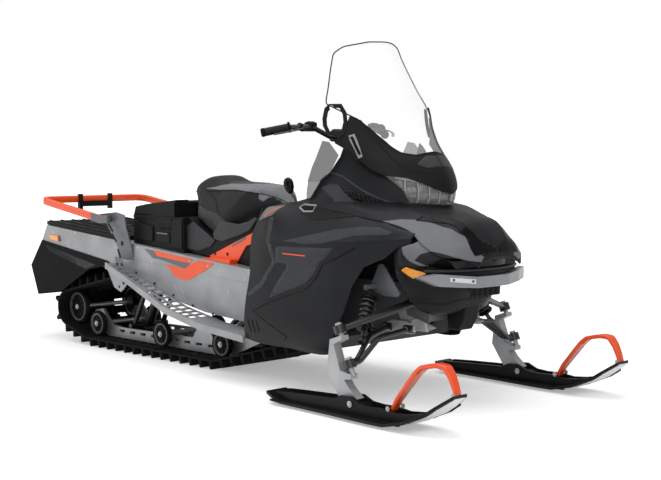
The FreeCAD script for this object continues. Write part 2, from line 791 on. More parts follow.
def skid_rails():
    base = lug_height + belt_thickness + seat_gap
    side = lay(rail_side_share, rail_rear_x, rail_length, base, rail_height)
    low = rail_offset - rail_thickness / 2
    rail = side_prism(side, low, low + rail_thickness)
    first = wheel_centres()[0]
    holes = []
    for x in (first_road_wheel_x, second_road_wheel_x, third_road_wheel_x):
        holes.append(rod((x, 0, first[1]), (x, track_half_width, first[1]), axle_radius + seat_gap))
    slot_z = base + rail_height * rail_slot_rise_share
    start = first_road_wheel_x + 2 * road_wheel_radius
    step = 2 * rail_slot_length
    count = int((third_road_wheel_x - start) / step)
    for index in range(count):
        x = start + index * step
        low_corner = (x, low - overrun, slot_z - rail_slot_height / 2)
        high_corner = (x + rail_slot_length, low + rail_thickness + overrun, slot_z + rail_slot_height / 2)
        holes.append(box(low_corner, high_corner))
    return both_sides(cut_all(rail, holes))


def skid_arms():
    """Front and rear swing arms between the rails and the tunnel, each with a damper."""
    road_z = wheel_centres()[0][1]
    inner = rail_offset - rail_thickness / 2
    reach = tunnel_half_width - tunnel_wall - seat_gap
    sets = []
    spots = (
        (rear_arm_foot_x, rear_arm_top_x, rear_arm_top_z),
        (front_arm_foot_x, front_arm_top_x, front_arm_top_z),
    )
    for foot_x, top_x, top_z in spots:
        foot = rod((foot_x, -inner, road_z), (foot_x, inner, road_z), skid_arm_radius)
        top = rod((top_x, -reach, top_z), (top_x, reach, top_z), skid_arm_radius)
        legs = []
        for side in (-1, 1):
            y = side * (inner - 2 * skid_arm_radius)
            legs.append(rod((foot_x, y, road_z), (top_x, y, top_z), skid_arm_radius))
        damper = rod((foot_x, 0, road_z), (top_x, 0, top_z), skid_shock_radius)
        sets.append(join([foot, top, damper] + legs))
    return sets


# Tunnel and running boards

def tunnel_line(x):
    """Height of the tunnel's top face at a place along the vehicle."""
    rear, front = lay(tunnel_side_share[1:3], tunnel_rear_x, tunnel_length, tunnel_base_z, tunnel_height)
    return rear[1] + (front[1] - rear[1]) * (x - rear[0]) / (front[0] - rear[0])


def below_tunnel(rear_x, front_x):
    """Everything under the plane of the tunnel's top face between two places."""
    ring = [(rear_x, 0), (front_x, 0), (front_x, tunnel_line(front_x)), (rear_x, tunnel_line(rear_x))]
    return side_prism(ring, -body_half_width, body_half_width)


def tunnel():
    side = lay(tunnel_side_share, tunnel_rear_x, tunnel_length, tunnel_base_z, tunnel_height)
    shell = side_prism(side, -tunnel_half_width, tunnel_half_width)
    rear_x = tunnel_rear_x - overrun
    front_x = tunnel_rear_x + tunnel_length + overrun
    inside = [
        (rear_x, tunnel_line(rear_x) - tunnel_wall),
        (front_x, tunnel_line(front_x) - tunnel_wall),
        (front_x, 0),
        (rear_x, 0),
    ]
    half = tunnel_half_width - tunnel_wall
    return [shell.cut(side_prism(inside, -half, half))]


def board_line():
    return lay(board_line_share, board_rear_x, board_length, board_base_z, board_height)


def board_plan():
    return lay(board_edge_share, board_rear_x, board_length, tunnel_half_width, board_width)


def board_height_at(x):
    line = board_line()
    for a, b in zip(line, line[1:]):
        if a[0] <= x <= b[0]:
            return a[1] + (b[1] - a[1]) * (x - a[0]) / (b[0] - a[0])
    return line[-1][1]


def strip_below(line, thickness):
    return line + [(x, z - thickness) for x, z in line[::-1]]


def running_board():
    """Slotted tread beside the tunnel with a deep outer lip."""
    line = board_line()
    plan = board_plan()
    inner_y = tunnel_half_width
    far_y = tunnel_half_width + board_width + overrun
    tread = side_prism(strip_below(line, board_thickness), inner_y, far_y)
    foot = board_base_z - board_height
    head = board_base_z + 2 * board_height
    field = plan_prism([(plan[0][0], inner_y)] + plan + [(plan[-1][0], inner_y)], foot, head)
    tread = tread.common(field)
    lip_inner = [(x, y - board_lip_width) for x, y in plan]
    lip_field = plan_prism(plan + lip_inner[::-1], foot, head)
    raised = [(x, z + board_thickness) for x, z in line]
    lip = side_prism(strip_below(raised, board_lip_height), inner_y, far_y).common(lip_field)
    board = join([tread, lip])
    cutters = []
    pitch = board_length / board_pitch_count
    slot_length = pitch * board_slot_share
    start = board_rear_x + slot_length
    for index in range(board_slot_count):
        x = start + index * pitch
        for row in range(board_slot_rows):
            low_y = inner_y + board_slot_rib + row * (board_slot_width + board_slot_rib)
            edge_y = plan_width_at(x) - board_lip_width - board_slot_rib
            high_y = min(low_y + board_slot_width, edge_y)
            if high_y - low_y > board_slot_rib:
                z = board_height_at(x)
                low = (x, low_y, z - board_height / 2)
                high = (x + slot_length, high_y, z + board_height / 2)
                cutters.append(box(low, high))
    cutters.append(box(
        (panel_rear_x - seat_gap, inner_y - overrun, foot),
        (board_rear_x + 2 * board_length, far_y, head),
    ))
    return cut_all(board, cutters)


def plan_width_at(x):
    plan = board_plan()
    for a, b in zip(plan, plan[1:]):
        if a[0] <= x <= b[0]:
            return a[1] + (b[1] - a[1]) * (x - a[0]) / (b[0] - a[0])
    return plan[-1][1]


def board_end():
    """Rear end plate of the running board with two tie-down holes."""
    side = lay(board_end_share, board_rear_x, board_end_length, board_end_base_z, board_end_height)
    outer = plan_width_at(board_rear_x)
    plate = side_prism(side, outer - board_end_thickness, outer)
    holes = []
    for x, z in lay(tie_hole_share, board_rear_x, board_end_length, board_end_base_z, board_end_height):
        holes.append(rod((x, 0, z), (x, 2 * outer, z), tie_hole_radius))
    return cut_all(plate, holes)


# Rear deck, rack, lamp, hitch and flap

def rear_deck():
    """Slotted load deck lying on the tunnel."""
    front_x = deck_rear_x + deck_length
    low = [(deck_rear_x, tunnel_line(deck_rear_x)), (front_x, tunnel_line(front_x))]
    side = low + [(front_x, low[1][1] + deck_thickness), (deck_rear_x, low[0][1] + deck_thickness)]
    deck = side_prism(side, -deck_half_width, deck_half_width)
    cutters = []
    row_pitch = 2 * deck_half_width / deck_slot_rows
    column_pitch = deck_length / deck_slot_columns
    for row in range(deck_slot_rows):
        y = -deck_half_width + (row + 0.5) * row_pitch
        for column in range(deck_slot_columns):
            x = deck_rear_x + (column + 0.5) * column_pitch - deck_slot_length / 2
            top = tunnel_line(x) + 2 * deck_thickness
            floor = tunnel_line(x) + deck_thickness / 3
            low = (x, y - deck_slot_width / 2, floor)
            high = (x + deck_slot_length, y + deck_slot_width / 2, top)
            cutters.append(box(low, high))
    return [cut_all(deck, cutters)]


def rack_rail_z(x):
    """Height of the rail's straight side run."""
    lean = (rack_rear_z - rack_front_z) / (rack_front_x - rack_rear_x)
    return rack_rear_z - (x - rack_rear_x) * lean


def rack_rail():
    """U-shaped guard rail round the load deck."""
    near = [
        (rack_front_x, rack_half_width, rack_front_z),
        (rack_rear_x, rack_half_width, rack_rear_z),
    ]
    far = [(x, -y, z) for x, y, z in near[::-1]]
    return [bent_tube(near + far, rack_tube_radius, rack_corner_radius)]


def rack_bracket():
    """Plate that carries the rail, leaning out from the tunnel side."""
    side = lay(rack_bracket_share, rack_bracket_x, rack_bracket_length, rack_bracket_z, rack_bracket_height)
    plate = side_prism(side, tunnel_half_width, tunnel_half_width + rack_bracket_thickness)
    across = rack_half_width - tunnel_half_width
    up = rack_rail_z(rack_bracket_x) - rack_bracket_foot_z
    reach = rack_tube_radius + seat_gap + rack_bracket_thickness
    lean = math.degrees(math.acos(reach / math.hypot(across, up)) - math.atan2(up, across))
    plate.rotate(Vector(0, tunnel_half_width, rack_bracket_foot_z), Vector(1, 0, 0), -lean)
    keep = box(
        (rack_bracket_x - overrun, tunnel_half_width, rack_bracket_z - overrun),
        (rack_bracket_x + rack_bracket_length + overrun, 2 * rack_half_width, rack_rear_z + overrun),
    )
    return plate.common(keep)


def tail_lamp():
    """Lamp bar between two posts clamped to the rear run of the rail."""
    front = rack_rear_x + rack_tube_radius
    top = rack_rear_z + lamp_post_height / 3
    posts = []
    for side in (-1, 1):
        y = side * lamp_post_offset
        low = (front - lamp_post_depth, y - lamp_post_width / 2, top - lamp_post_height)
        high = (front + lamp_post_depth, y + lamp_post_width / 2, top)
        posts.append(box(low, high))
    bar_z = top - lamp_post_height + lamp_height
    low = (front - lamp_depth / 2, -lamp_post_offset, bar_z - lamp_height / 2)
    high = (front + lamp_depth / 2, lamp_post_offset, bar_z + lamp_height / 2)
    body = join(posts + [box(low, high)])
    start = (rack_rear_x, -rack_half_width, rack_rear_z)
    end = (rack_rear_x, rack_half_width, rack_rear_z)
    return [body.cut(rod(start, end, rack_tube_radius + seat_gap))]


def hitch():
    """Tow jaw under the rear edge of the tunnel, with a vertical pin hole."""
    rear = tunnel_rear_x + tunnel_length * hitch_start_share
    tip = rear - hitch_length
    z = tunnel_line(rear) - tunnel_wall - seat_gap
    block = box((tip, -hitch_half_width, z - hitch_drop), (rear, hitch_half_width, z))
    jaw = box(
        (tip - overrun, -hitch_half_width - overrun, z - hitch_drop + hitch_plate),
        (tip + 2 * hitch_half_width, hitch_half_width + overrun, z - hitch_plate),
    )
    pin_x = tip + hitch_half_width
    pin = rod((pin_x, 0, z - 2 * hitch_drop), (pin_x, 0, z + hitch_drop), hitch_pin_radius)
    return [cut_all(block, [jaw, pin])]


def snow_flap():
    """Rubber flap behind the track, its side wings outside the tunnel."""
    side = lay(flap_side_share, flap_rear_x, flap_length, flap_base_z, flap_height)
    outer_half = tunnel_half_width + flap_thickness
    solid = side_prism(side, -outer_half, outer_half)
    shifted = [(x + flap_thickness, z) for x, z in side]
    inside = side_prism(shifted, -tunnel_half_width, tunnel_half_width)
    rear_edge = tunnel_rear_x + flap_thickness
    front = box(
        (rear_edge, -tunnel_half_width, 0),
        (flap_rear_x + 2 * flap_length, tunnel_half_width, 2 * flap_height + flap_base_z),
    )
    rim = lay(tunnel_side_share, tunnel_rear_x, tunnel_length, tunnel_base_z, tunnel_height)
    above = side_prism(rim, -tunnel_half_width, tunnel_half_width)
    return [cut_all(solid, [inside, front, above])]


# Storage bin and lid

def bin_top_z():
    return bin_base_z + bin_height


def hinge_axis():
    """Side view place of the lid's hinge, just behind the bin."""
    return bin_rear_x - hinge_radius - seat_gap, bin_top_z() + seat_gap / 2


def hinge_knuckle(low_y, high_y, foot_z, head_z):
    """Round knuckle with a web that reaches the wall in front of it."""
    x, z = hinge_axis()
    round_part = rod((x, low_y, z), (x, high_y, z), hinge_radius)
    web = box((x, low_y, foot_z), (bin_rear_x + bin_wall / 2, high_y, head_z))
    return round_part.fuse(web)


def storage_bin():
    front_x = bin_rear_x + bin_length
    top = bin_top_z()
    side = [
        (bin_rear_x, tunnel_line(bin_rear_x)), (bin_rear_x, top),
        (front_x, top), (front_x, tunnel_line(front_x)),
    ]
    outer = side_prism(side, -bin_half_width, bin_half_width)
    inner_side = [
        (bin_rear_x + bin_wall, tunnel_line(bin_rear_x) + bin_wall),
        (bin_rear_x + bin_wall, top + overrun),
        (bin_rear_x + lid_length - bin_wall, top + overrun),
        (bin_rear_x + lid_length - bin_wall, tunnel_line(front_x) + 2 * bin_wall),
    ]
    half = bin_half_width - bin_wall
    parts = [outer.cut(side_prism(inner_side, -half, half))]
    x, z = hinge_axis()
    for middle in (-hinge_offset, hinge_offset):
        reach = hinge_length / 2 + hinge_lug
        for low_y in (middle - reach, middle + hinge_length / 2):
            parts.append(hinge_knuckle(low_y, low_y + hinge_lug, z - hinge_radius, top))
        parts.append(rod((x, middle - reach, z), (x, middle + reach, z), hinge_pin_radius))
    return [join(parts)]


def storage_lid():
    base = bin_top_z() + seat_gap
    side = lay(lid_side_share, bin_rear_x, lid_length, base, lid_height)
    outer = side_prism(side, -bin_half_width, bin_half_width)
    inner = [(x, z - bin_wall) for x, z in side]
    inner = [(min(max(x, bin_rear_x + bin_wall), bin_rear_x + lid_length - bin_wall), z) for x, z in inner]
    half = bin_half_width - bin_wall
    parts = [outer.cut(side_prism(inner, -half, half))]
    x, z = hinge_axis()
    bores = []
    for middle in (-hinge_offset, hinge_offset):
        low_y = middle - hinge_length / 2 + shaft_gap
        high_y = middle + hinge_length / 2 - shaft_gap
        parts.append(hinge_knuckle(low_y, high_y, base, z + hinge_radius))
        bores.append(rod((x, low_y, z), (x, high_y, z), hinge_pin_radius + shaft_gap))
    return [cut_all(join(parts), bores)]


# Seat

def seat():
    side = lay(seat_side_share, seat_rear_x, seat_length, seat_base_z, seat_height)
    body = side_prism(side, -seat_half_width, seat_half_width)
    front = lay(seat_front_share, 0, seat_half_width, seat_base_z, seat_height)
    front_x = seat_rear_x + seat_length
    body = body.common(front_prism(front, seat_rear_x - overrun, front_x + overrun))
    edge = lay(seat_plan_share, seat_rear_x, seat_length, 0, seat_half_width)
    ring = edge + [(x, -y) for x, y in edge[::-1]]
    return [body.common(plan_prism(ring, 0, 2 * (seat_base_z + seat_height)))]


def seat_base():
    """Plastic plinth between the tunnel and the seat cushion."""
    side = lay(seat_base_share, seat_base_rear_x, seat_base_length, seat_base_low_z, seat_base_height)
    body = side_prism(side, -seat_base_half_width, seat_base_half_width)
    rear_x = seat_base_rear_x - overrun
    front_x = seat_base_rear_x + seat_base_length + overrun
    body = body.cut(below_tunnel(rear_x, front_x))
    behind = box(
        (rear_x, -body_half_width, 0),
        (bin_rear_x + bin_length + seat_gap, body_half_width, 2 * seat_base_low_z),
    )
    body = body.cut(behind)
    swept = lay(seat_side_share, seat_rear_x, seat_length, seat_base_z - seat_gap, seat_height)
    return [body.cut(side_prism(swept, -body_half_width, body_half_width))]


def seat_plate():
    """Coloured plate that braces the seat plinth to the tunnel edge."""
    side = lay(seat_plate_share, seat_plate_rear_x, seat_plate_length, seat_plate_low_z, seat_plate_height)
    low = seat_base_half_width + seat_gap
    plate = side_prism(side, low, low + seat_plate_thickness)
    foot_z = tunnel_line(seat_plate_rear_x)
    front_x = seat_plate_rear_x + seat_plate_flange_share * seat_plate_length
    flange = side_prism(
        [
            (seat_plate_rear_x, foot_z),
            (front_x, tunnel_line(front_x)),
            (front_x, foot_z + seat_plate_thickness),
            (seat_plate_rear_x, foot_z + seat_plate_thickness),
        ],
        low, seat_plate_offset,
    )
    whole = join([plate, flange])
    return whole.cut(below_tunnel(seat_plate_rear_x - overrun, seat_plate_rear_x + 2 * seat_plate_length))


# Front bodywork

def body_point(station, a, b):
    return Vector(station, a, b)


def section_lines(shares, start_x, length, base_z, height):
    lines = []
    for along, line in shares:
        points = [(y * body_half_width, base_z + z * height) for y, z in line]
        lines.append((start_x + along * length, points))
    return lines


def side_panel():
    """Tall moulded panel beside the engine, on the left; its beak runs over the arms."""
    lines = section_lines(panel_sections_share, panel_rear_x, panel_length, panel_base_z, panel_height)
    skin = shell_loft(lines, panel_wall, body_point)
    edge = lay(panel_edge_share, panel_rear_x, panel_length, panel_base_z, panel_height)
    skin = skin.common(side_prism(edge, 0, 2 * body_half_width))
    wall_points = [
        (y * body_half_width, panel_base_z + z * panel_height) for y, z in panel_rear_wall_share
    ]
    rear_wall = front_prism(wall_points, panel_rear_x + panel_wall, panel_rear_x + 2 * panel_wall)
    panel = cut_all(join([skin, rear_wall]), [hood_volume(seat_gap)] + fairing())
    return max(panel.Solids, key=lambda solid: solid.Volume)


def hood():
    lines = section_lines(hood_sections_share, hood_rear_x, hood_length, hood_base_z, hood_height)
    full = []
    for station, half in lines:
        full.append((station, [(-y, z) for y, z in half[:0:-1]] + half))
    skin = shell_loft(full, panel_wall, body_point)
    post_hole = box(
        (hood_rear_x - overrun, -post_hole_half_width, hood_base_z),
        (post_foot_x + post_hole_reach, post_hole_half_width, hood_base_z + 2 * hood_height),
    )
    return [skin.cut(post_hole)]


def hood_volume(grow):
    """Everything under the hood's top face, grown outward by a small gap."""
    wires = []
    for station, half in section_lines(hood_sections_share, hood_rear_x, hood_length, hood_base_z, hood_height):
        grown = [(y + grow, z + grow) for y, z in half[1:]]
        line = [(-y, z) for y, z in grown[::-1]] + [(0, half[0][1] + grow)] + grown
        line = [(line[0][0], hood_base_z)] + line + [(line[-1][0], hood_base_z)]
        corners = [body_point(station, y, z) for y, z in line]
        wires.append(Part.makePolygon(corners + corners[:1]))
    return Part.makeLoft(wires, True, True)


def nose_pan():
    """Lower front cover under the bumper."""
    lines = section_lines(nose_sections_share, nose_rear_x, nose_length, nose_base_z, nose_height)
    full = []
    for station, half in lines:
        full.append((station, [(-y, z) for y, z in half[:0:-1]] + half))
    skin = shell_loft([(s, line[::-1]) for s, line in full], panel_wall, body_point)
    trim = lay(nose_trim_share, nose_rear_x, nose_length, nose_base_z, nose_height)
    skin = skin.common(side_prism(trim, -body_half_width, body_half_width))
    keel = lay(keel_box_share, nose_rear_x, nose_length, nose_base_z, nose_height)
    station, rim = full[-1]
    front = front_prism(rim, station - panel_wall, station)
    edge = [
        (bumper_end_x + along * bumper_reach - lip_thickness, side * bumper_half_width * lip_width_share)
        for along, side in bumper_plan_share
    ]
    ring = edge + [(x, -y) for x, y in edge[-2::-1]]
    lip = plan_prism(ring, lip_base_z, lip_base_z + lip_thickness)
    parts = [skin, front, lip, side_prism(keel, -keel_box_half_width, keel_box_half_width)]
    for side in (-1, 1):
        y = side * bumper_pad_offset
        parts.append(box(
            (station - panel_wall, y - bumper_pad_width / 2, bumper_mid_z - bumper_pad_height / 2),
            (station + bumper_depth, y + bumper_pad_width / 2, bumper_mid_z + bumper_pad_height / 2),
        ))
    rear_x = panel_rear_x + panel_gap
    edge = lay(panel_edge_share, rear_x, panel_length, panel_base_z - panel_gap, panel_height)
    panels = side_prism(edge, -body_half_width, body_half_width)
    half = frame_offset + frame_plate / 2 + seat_gap
    frame_room = box((nose_rear_x - overrun, -half, 0), (frame_front_x, half, frame_top_z + seat_gap))
    whole = cut_all(join(parts), [bumper()[0], hood()[0], panels, frame_room])
    return [max(whole.Solids, key=lambda solid: solid.Volume)]


def belly_pan():
    """Floor of the engine bay, rising to the frame plates at its front edge."""
    rise = frame_low_z - seat_gap - belly_thickness - belly_low_z
    line = lay(belly_line_share, belly_rear_x, belly_length, belly_low_z, rise)
    sheet = side_prism(strip_below(line, -belly_thickness), -body_half_width, body_half_width)
    edge = lay(belly_edge_share, belly_rear_x, belly_length, 0, body_half_width)
    ring = edge + [(x, -y) for x, y in edge[::-1]]
    return [sheet.common(plan_prism(ring, 0, nose_base_z + nose_height))]


def console():
    """Fuel tank cover between the seat and the hood."""
    front_x = hood_rear_x - seat_gap
    side = lay(console_side_share, console_rear_x, front_x - console_rear_x, console_base_z, console_height)
    body = side_prism(side, -console_half_width, console_half_width)
    front = lay(console_front_share, 0, console_half_width, console_base_z, console_height)
    body = body.common(front_prism(front, console_rear_x - overrun, front_x + overrun))
    return [body.cut(below_tunnel(console_rear_x - overrun, front_x + overrun))]


# Windshield, its base, lamp and hoops

def cowl_point(station, a, b):
    return Vector(a, b, station)


def cowl_lines(inward):
    lines = []
    for up, line in cowl_sections_share:
        half = [(cowl_rear_x + x * cowl_length - inward, y * (cowl_half_width - inward)) for x, y in line]
        full = half + [(x, -y) for x, y in half[-2::-1]]
        lines.append((cowl_base_z + up * cowl_height, full))
    return lines


def cowl_side(shares):
    return lay(shares, cowl_rear_x, cowl_length, cowl_base_z, cowl_height)


def cowl_zone(low_line, high_line):
    """Side view zone between two lines, carried right across."""
    ring = cowl_side(low_line) + cowl_side(high_line)[::-1]
    return side_prism(ring, -body_half_width, body_half_width)


def windshield():
    skin = shell_loft(cowl_lines(0), shield_wall, cowl_point)
    zone = cowl_zone(shield_split_share, shield_above_share)
    zone.translate(Vector(0, 0, seat_gap))
    skin = skin.common(zone)
    top = [(y * cowl_half_width, cowl_base_z + up * cowl_height) for y, up in shield_top_share]
    ring = top + [(2 * cowl_half_width, cowl_base_z), (-2 * cowl_half_width, cowl_base_z)]
    return [skin.common(front_prism(ring, 0, 2 * cowl_rear_x + cowl_length))]


def windshield_base():
    skin = shell_loft(cowl_lines(0), panel_wall, cowl_point)
    zone = cowl_zone(pod_foot_share, shield_split_share)
    rear = side_prism(cowl_side(base_rear_share), -body_half_width, body_half_width)
    return [skin.common(zone).cut(rear)]


def headlamp():
    skin = shell_loft(cowl_lines(panel_gap), lamp_wall, cowl_point)
    zone = cowl_zone(lamp_foot_share, pod_foot_share[7:])
    zone.translate(Vector(0, 0, -seat_gap))
    return [skin.common(zone).cut(hood_volume(seat_gap))]


def cowl_volume(grow):
    """Everything inside the cowl's outer face, raised outward by a small gap."""
    wires = []
    for station, line in cowl_lines(-grow):
        corners = [cowl_point(station, x, y) for x, y in line]
        wires.append(Part.makePolygon(corners + corners[:1]))
    return Part.makeLoft(wires, True, True)


def hoop():
    """Flat ring standing at the rear corner of the windshield base, on the left."""
    rings = []
    for wall in (0, hoop_wall):
        half_length = hoop_half_length - wall
        half_height = hoop_half_height - wall
        outline = lay(hoop_ring_share, 0, half_length, hoop_centre_z, half_height)
        rings.append(outline)
    outer = side_prism(rings[0], -hoop_thickness / 2, hoop_thickness / 2)
    inner = side_prism(rings[1], -hoop_thickness, hoop_thickness)
    ring = outer.cut(inner)
    ring.rotate(Vector(0, 0, hoop_centre_z), Vector(1, 0, 0), hoop_lean)
    ring.rotate(Vector(0, 0, 0), Vector(0, 0, 1), -hoop_angle)
    ring.translate(Vector(hoop_centre_x, hoop_centre_y, 0))
    ring = ring.cut(cowl_volume(seat_gap))
    return max(ring.Solids, key=lambda solid: solid.Volume)


def fairing():
    """Dark sides between the hood and the windshield base, open to the rider."""
    lines = []
    for up, line in fairing_sections_share:
        half = [(cowl_rear_x + x * cowl_length, y * cowl_half_width) for x, y in line]
        full = half + [(x, -y) for x, y in half[-2::-1]]
        lines.append((cowl_base_z + up * cowl_height, full))
    skin = shell_loft(lines, fairing_wall, cowl_point)
    ring = cowl_side(fairing_rear_share + pod_foot_share[1:8] + lamp_foot_share[:3])
    zone = side_prism(ring, -body_half_width, body_half_width)
    zone.translate(Vector(-seat_gap, 0, -2 * seat_gap))
    sides = skin.common(zone).cut(hood_volume(seat_gap))
    return sorted(sides.Solids, key=lambda solid: solid.Volume)[-2:]


def deflector():
    """Smoked plate on two bosses of the fairing's rear edge, on the left."""
    side = cowl_side(deflector_side_share)
    parts = [side_prism(side, deflector_offset, deflector_offset + deflector_wall)]
    for x, z in cowl_side(deflector_boss_share):
        inner_y = deflector_offset - deflector_boss_reach
        parts.append(rod((x, inner_y, z), (x, deflector_offset, z), deflector_boss_radius))
    plate = cut_all(join(parts), fairing())
    return max(plate.Solids, key=lambda solid: solid.Volume)


# Bumper, frame and suspension

def bumper():
    """Wide flat-faced bar across the nose, ends running back to points."""
    outer = []
    for along, side in bumper_plan_share:
        outer.append((bumper_end_x + along * bumper_reach, side * bumper_half_width))
    ring = outer + [(x, -y) for x, y in outer[-2::-1]]
    back = [(x - bumper_depth, y) for x, y in ring]
    low = bumper_mid_z - bumper_tube_height / 2
    slab = plan_prism(ring + back[::-1], low, low + 2 * bumper_tube_height)
    half = [(y * bumper_half_width, low + up * bumper_tube_height) for y, up in bumper_face_share]
    face = half + [(-y, z) for y, z in half[::-1]]
    return [slab.common(front_prism(face, bumper_end_x - 2 * bumper_depth, bumper_end_x + 2 * bumper_reach))]


def post_point(z):
    """Place on the steering post's axis at a height."""
    share = (z - post_foot_z) / (post_top_z - post_foot_z)
    return Vector(post_foot_x + share * (post_top_x - post_foot_x), 0, z)


def front_frame():
    """Bulkhead on the tunnel, side plates, shock cross tube and the steering bearing."""
    tunnel_front = tunnel_rear_x + tunnel_length
    head = tunnel_line(tunnel_front)
    front_x = frame_front_x
    bulkhead = box(
        (tunnel_front, -tunnel_half_width, tunnel_base_z),
        (tunnel_front + frame_plate, tunnel_half_width, head),
    )
    parts = [bulkhead]
    plate = [
        (tunnel_front, frame_low_z), (frame_taper_x, frame_low_z), (front_x, frame_nose_z),
        (front_x, frame_top_z), (tunnel_front, frame_top_z),
    ]
    for side in (-1, 1):
        low_y = side * frame_offset - frame_plate / 2
        parts.append(side_prism(plate, low_y, low_y + frame_plate))
    reach = shock_top_y + spring_radius
    parts.append(rod((shock_top_x, -reach, shock_top_z), (shock_top_x, reach, shock_top_z), arm_tube_radius))
    tower = lay(tower_side_share, tower_rear_x, tower_length, tower_low_z, tower_height)
    parts.extend(both_sides(side_prism(tower, tower_offset, tower_offset + frame_plate)))
    parts.append(box(
        (front_x - frame_plate, -frame_offset, frame_nose_z),
        (front_x, frame_offset, frame_top_z),
    ))
    foot = post_point(post_foot_z)
    top = post_point(post_foot_z + post_sleeve_length)
    along = top - foot
    sleeve_radius = post_radius + shaft_gap + post_sleeve_wall
    parts.append(Part.makeCylinder(sleeve_radius, along.Length, foot, along))
    for side in (-1, 1):
        start = (tunnel_front + 2 * arm_tube_radius, side * frame_offset, frame_top_z - arm_tube_radius)
        end = post_point(post_foot_z + post_sleeve_length / 2)
        parts.append(rod(start, (end.x, side * post_radius, end.z), arm_tube_radius))
    whole = join(parts)
    bore = Part.makeCylinder(post_radius + shaft_gap, 3 * along.Length, foot - along, along)
    return [whole.cut(bore)]


def engine():
    half = frame_offset - frame_plate / 2 - seat_gap
    low = (engine_rear_x, -half, engine_base_z)
    high = (engine_rear_x + engine_length, half, engine_base_z + engine_height)
    return [box(low, high)]


def kingpin_point(share):
    x = kingpin_foot_x + share * (kingpin_top_x - kingpin_foot_x)
    z = kingpin_foot_z + share * (kingpin_top_z - kingpin_foot_z)
    return Vector(x, kingpin_offset, z)


def kingpin_direction():
    direction = kingpin_point(1) - kingpin_point(0)
    direction.normalize()
    return direction


def arm_inner_point(inner_x, inner_z):
    """Centre of an arm's pivot sleeve, beside the frame plate."""
    y = frame_offset + frame_plate / 2 + arm_pivot_radius + seat_gap
    return Vector(inner_x, y, inner_z)


def arm_route(centre, inner, route_share):
    """Points of an arm tube from its eye to its pivot, with its bends between them."""
    run = inner - centre
    route = [centre]
    for along, up in route_share:
        route.append(Vector(centre.x + along * run.x, centre.y + along * run.y, centre.z + up * run.z))
    return route + [inner]


def control_arm(share, inner_rear_x, inner_front_x, inner_z, route_share):
    """Wishbone of the left side with its eye round the kingpin."""
    centre = kingpin_point(share)
    up = kingpin_direction()
    foot = centre - up * (arm_eye_height / 2)
    parts = [Part.makeCylinder(arm_eye_radius, arm_eye_height, foot, up)]
    for inner_x in (inner_rear_x, inner_front_x):
        inner = arm_inner_point(inner_x, inner_z)
        route = arm_route(centre, inner, route_share)
        parts.append(bent_tube(route, arm_tube_radius, arm_bend_radius))
        half = Vector(arm_pivot_length / 2, 0, 0)
        parts.append(Part.makeCylinder(arm_pivot_radius, arm_pivot_length, inner - half, Vector(1, 0, 0)))
    bore_start = foot - up * overrun
    bore = Part.makeCylinder(kingpin_radius + shaft_gap, arm_eye_height + 2 * overrun, bore_start, up)
    return join(parts).cut(bore)


def control_arms():
    return [
        control_arm(upper_eye_share, upper_arm_rear_x, upper_arm_front_x, upper_arm_inner_z, []),
        control_arm(
            lower_eye_share, lower_arm_rear_x, lower_arm_front_x, lower_arm_inner_z, lower_arm_route_share
        ),
    ]


def shock_ends():
    """Centres of the two eyes, each lying against its tube."""
    top = Vector(shock_top_x, shock_top_y, shock_top_z)
    outer = kingpin_point(lower_eye_share)
    inner = arm_inner_point(lower_arm_rear_x, lower_arm_inner_z)
    route = arm_route(outer, inner, lower_arm_route_share)
    bar = route[2] - route[1]
    foot = route[1] + bar * shock_foot_share
    run = top - foot
    run.normalize()
    ends = []
    for point, tube, sign in ((foot, bar, 1), (top, Vector(0, 1, 0), -1)):
        slant = math.sin(run.getAngle(tube))
        offset = (shock_eye_radius + arm_tube_radius + seat_gap) / slant
        ends.append((point + run * (sign * offset), tube))
    return ends


def shock():
    """Coil-over damper: a rod with round eyes and a spring of ribbed outline."""
    ends = shock_ends()
    foot = ends[0][0]
    run = ends[1][0] - foot
    length = run.Length
    run.normalize()
    parts = [Part.makeCylinder(shock_radius / 2, length, foot, run)]
    for centre, tube in ends:
        across = Vector(tube)
        across.normalize()
        half = across * shock_eye_radius
        parts.append(Part.makeCylinder(shock_eye_radius, 2 * shock_eye_radius, centre - half, across))
    step = length * spring_length_share / spring_coils
    for index in range(spring_coils):
        start = foot + run * (length * spring_foot_share + index * step)
        parts.append(Part.makeCone(shock_radius, spring_radius, step / 2, start, run))
        parts.append(Part.makeCone(spring_radius, shock_radius, step / 2, start + run * (step / 2), run))
    return join(parts)


# Skis and spindles

def spindle():
    """Cast leg curved behind the kingpin, with one pin up into each arm eye."""
    up = kingpin_direction()
    side = lay(spindle_side_share, spindle_rear_x, spindle_length, spindle_low_z, spindle_height)
    half = spindle_width / 2
    parts = [side_prism(side, kingpin_offset - half, kingpin_offset + half)]
    for pin_share, eye_share in ((lower_pin_share, lower_eye_share), (upper_pin_share, upper_eye_share)):
        foot = kingpin_point(pin_share)
        cap_foot = kingpin_point(eye_share) + up * (arm_eye_height / 2 + shaft_gap)
        parts.append(Part.makeCylinder(kingpin_radius, (cap_foot - foot).Length, foot, up))
        parts.append(Part.makeCylinder(kingpin_cap_radius, kingpin_cap_height, cap_foot, up))
    return join(parts)


def ski_line():
    return lay(ski_side_share, ski_rear_x, ski_length, 0, ski_height)


def ski_height_at(x):
    """Height of the ski's underside at a place along it."""
    line = ski_line()
    for a, b in zip(line, line[1:]):
        if a[0] <= x <= b[0]:
            return a[1] + (b[1] - a[1]) * (x - a[0]) / (b[0] - a[0])
    return line[-1][1]


